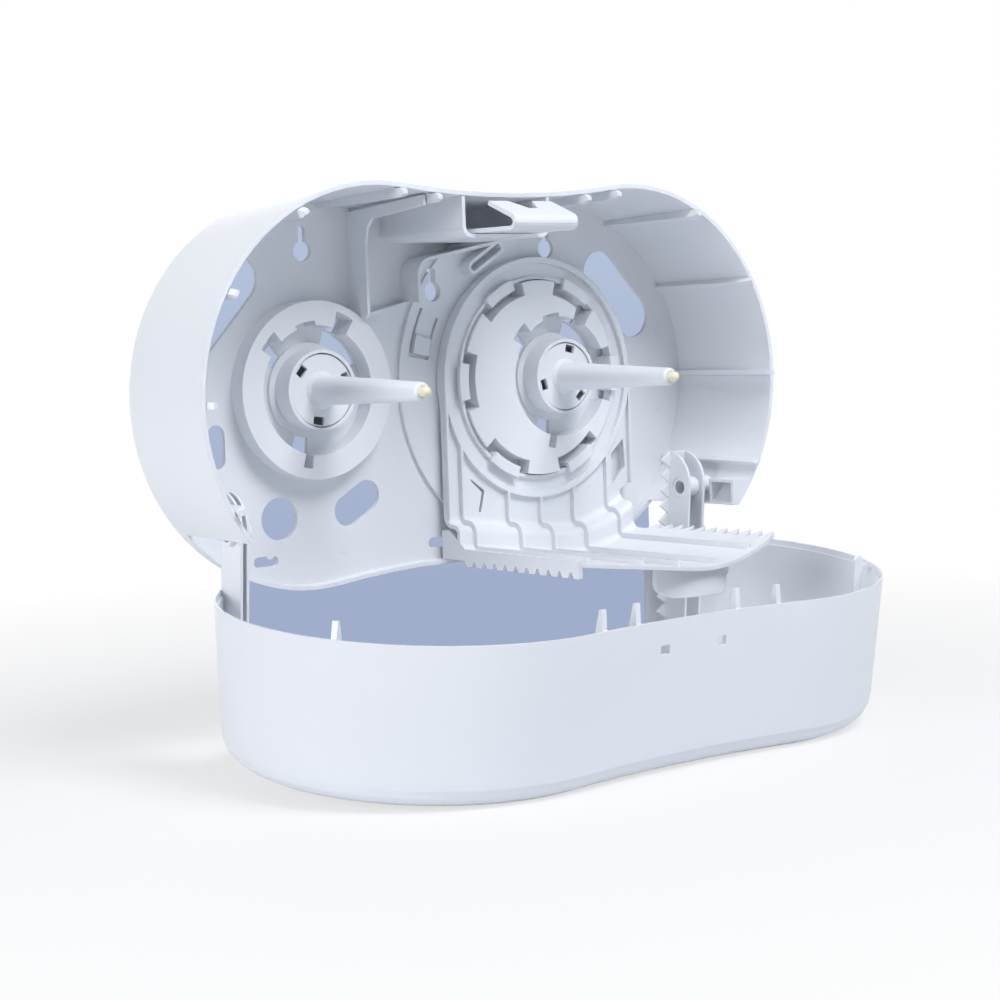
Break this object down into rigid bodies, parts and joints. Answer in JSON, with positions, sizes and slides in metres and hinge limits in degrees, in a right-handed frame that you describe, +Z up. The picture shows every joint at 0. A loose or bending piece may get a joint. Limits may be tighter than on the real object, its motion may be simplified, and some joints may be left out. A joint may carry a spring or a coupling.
{
  "type": "jumbo toilet roll dispenser",
  "caption": "Wall-mounted twin toilet roll dispenser, standing open, with freely turning spindles, a swing plate with a toothed tear tray, a spring latch and a drop-down front cover.",
  "frame": {"origin": "On the wall face of the housing, midway between the two spindles and at their height.", "axes": "+X to the right seen from the front, +Y into the wall, +Z up."},
  "size_m": [0.3678, 0.206, 0.2801],
  "materials": {
    "housing_white": "moulded plastic, cool white, satin",
    "cover_white": "moulded plastic, cool white, smooth outside",
    "plate_white": "moulded plastic, cool white, satin",
    "latch_white": "springy moulded plastic, faintly blue white",
    "hub_white": "moulded plastic, cool white, satin",
    "axle_cream": "moulded plastic, pale cream"
  },
  "bodies": {
    "housing": {"rear_housing": "housing_white", "left_hub_collar": "hub_white", "right_hub_collar": "hub_white", "left_axle_pin": "axle_cream", "right_axle_pin": "axle_cream", "latch_base": "latch_white"},
    "cover": {"front_cover": "cover_white"},
    "tray": {"swing_plate": "plate_white"},
    "left_spindle": {"left_spindle_sleeve": "hub_white"},
    "right_spindle": {"right_spindle_sleeve": "hub_white"},
    "latch": {"latch_tongue": "latch_white"}
  },
  "joints": [
    {"name": "cover_hinge", "type": "hinge", "parent": "housing", "child": "cover", "pos_m": [0, -0.0445, -0.064], "axis": [1, 0, 0], "range_deg": [-95, 0]},
    {"name": "tray_swing", "type": "hinge", "parent": "housing", "child": "tray", "pos_m": [0.0655, 0, 0], "axis": [0, 1, 0], "range_deg": [0, 40]},
    {"name": "left_spindle_spin", "type": "hinge", "parent": "housing", "child": "left_spindle", "pos_m": [-0.08, 0, 0], "axis": [0, 1, 0], "continuous": true},
    {"name": "right_spindle_spin", "type": "hinge", "parent": "housing", "child": "right_spindle", "pos_m": [0.08, 0, 0], "axis": [0, 1, 0], "continuous": true},
    {"name": "latch_flex", "type": "hinge", "parent": "housing", "child": "latch", "pos_m": [0, -0.099, 0.0795], "axis": [-1, 0, 0], "range_deg": [0, 14], "stiffness_Nm_per_rad": 0.2}
  ]
}
